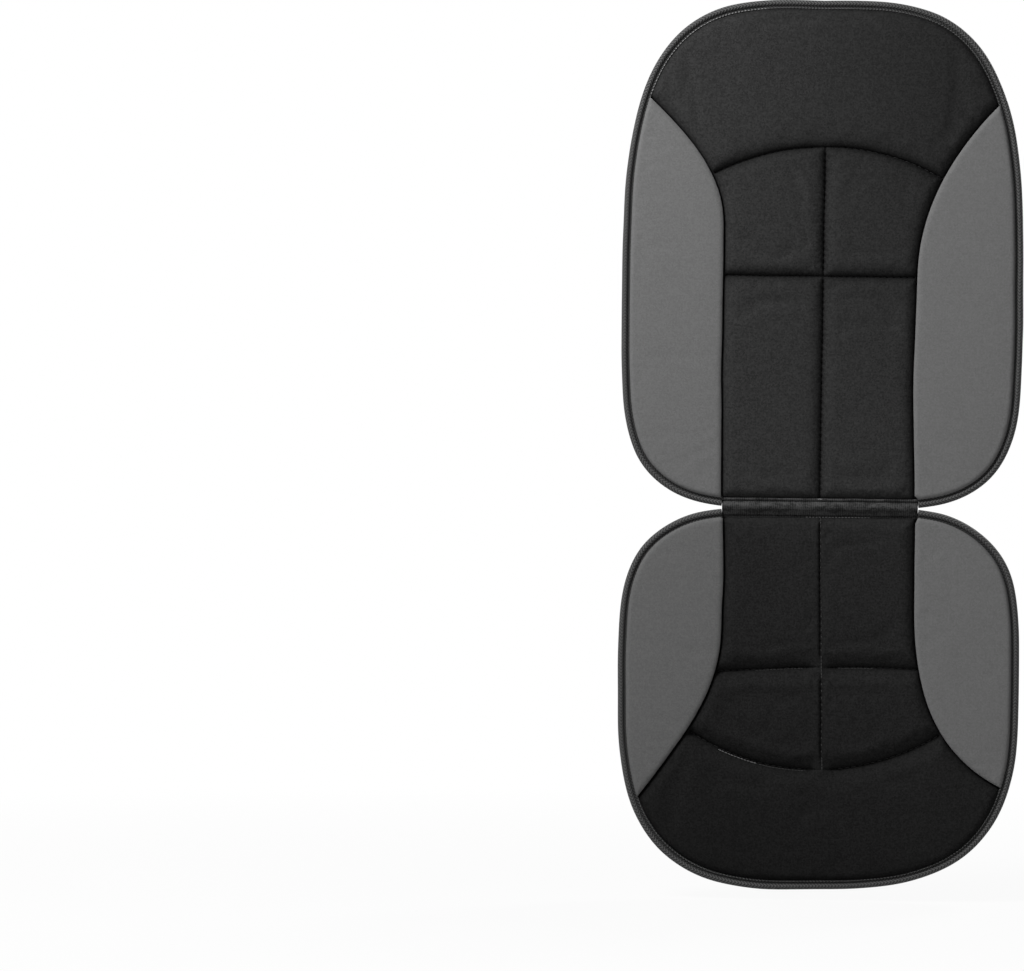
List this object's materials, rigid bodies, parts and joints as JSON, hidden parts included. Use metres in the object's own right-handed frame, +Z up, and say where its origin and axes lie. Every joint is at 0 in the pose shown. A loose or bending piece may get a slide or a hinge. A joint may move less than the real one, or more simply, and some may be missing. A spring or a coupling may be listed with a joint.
{
  "type": "car seat cover",
  "caption": "Quilted car seat cover: a padded back and a padded seat joined by a folding tape, edged with braid, with headrest straps and push-through anchors behind.",
  "frame": {"origin": "on the rear face of the back pad, at the middle of the pad's widest line", "axes": "+X to the viewer's right, +Y out of the rear face, +Z up with the cover hanging flat"},
  "size_m": [0.4992, 0.0264, 1.1087],
  "materials": {
    "black_fabric": "matte",
    "grey_fabric": "matte",
    "foam": "matte",
    "backing_cloth": "matte",
    "binding_braid": "matte",
    "elastic_webbing": "matte",
    "hook_and_loop": "matte",
    "black_plastic": "satin",
    "black_rivet": "satin"
  },
  "bodies": {
    "back_pad": {"back_center_panel": "black_fabric", "back_side_panel_left": "grey_fabric", "back_side_panel_right": "grey_fabric", "back_foam_core": "foam", "back_backing": "backing_cloth", "back_edge_binding": "binding_braid", "headrest_tab_left": "elastic_webbing", "headrest_tab_right": "elastic_webbing"},
    "hinge_tape": {"hinge_tape": "binding_braid"},
    "seat_pad": {"seat_center_panel": "black_fabric", "seat_side_panel_left": "grey_fabric", "seat_side_panel_right": "grey_fabric", "seat_foam_core": "foam", "seat_backing": "backing_cloth", "seat_edge_binding": "binding_braid", "anchor_tab_left": "elastic_webbing", "anchor_tab_right": "elastic_webbing"},
    "headrest_left": {"headrest_strap_left": "elastic_webbing", "hook_patch": "hook_and_loop"},
    "headrest_right": {"headrest_strap_right": "elastic_webbing", "loop_patch": "hook_and_loop"},
    "anchor_left": {"anchor_strap_left": "elastic_webbing", "anchor_disc_left": "black_plastic", "anchor_rivet_left": "black_rivet"},
    "anchor_right": {"anchor_strap_right": "elastic_webbing", "anchor_disc_right": "black_plastic", "anchor_rivet_right": "black_rivet"}
  },
  "joints": [
    {"name": "back_edge_fold", "type": "hinge", "parent": "back_pad", "child": "hinge_tape", "pos_m": [0, -0.008, -0.2505], "axis": [-1, 0, 0], "range_deg": [0, 90]},
    {"name": "seat_edge_fold", "type": "hinge", "parent": "hinge_tape", "child": "seat_pad", "pos_m": [0, -0.008, -0.2695], "axis": [-1, 0, 0], "range_deg": [0, 90]},
    {"name": "headrest_swing_left", "type": "hinge", "parent": "back_pad", "child": "headrest_left", "pos_m": [-0.048, 0.0041, 0.3345], "axis": [1, 0, 0], "range_deg": [0, 180]},
    {"name": "headrest_swing_right", "type": "hinge", "parent": "back_pad", "child": "headrest_right", "pos_m": [0.048, 0.0041, 0.3345], "axis": [1, 0, 0], "range_deg": [0, 180]},
    {"name": "anchor_swing_left", "type": "hinge", "parent": "seat_pad", "child": "anchor_left", "pos_m": [-0.08, 0.0041, -0.29], "axis": [1, 0, 0], "range_deg": [0, 150]},
    {"name": "anchor_swing_right", "type": "hinge", "parent": "seat_pad", "child": "anchor_right", "pos_m": [0.08, 0.0041, -0.29], "axis": [1, 0, 0], "range_deg": [0, 150]}
  ]
}
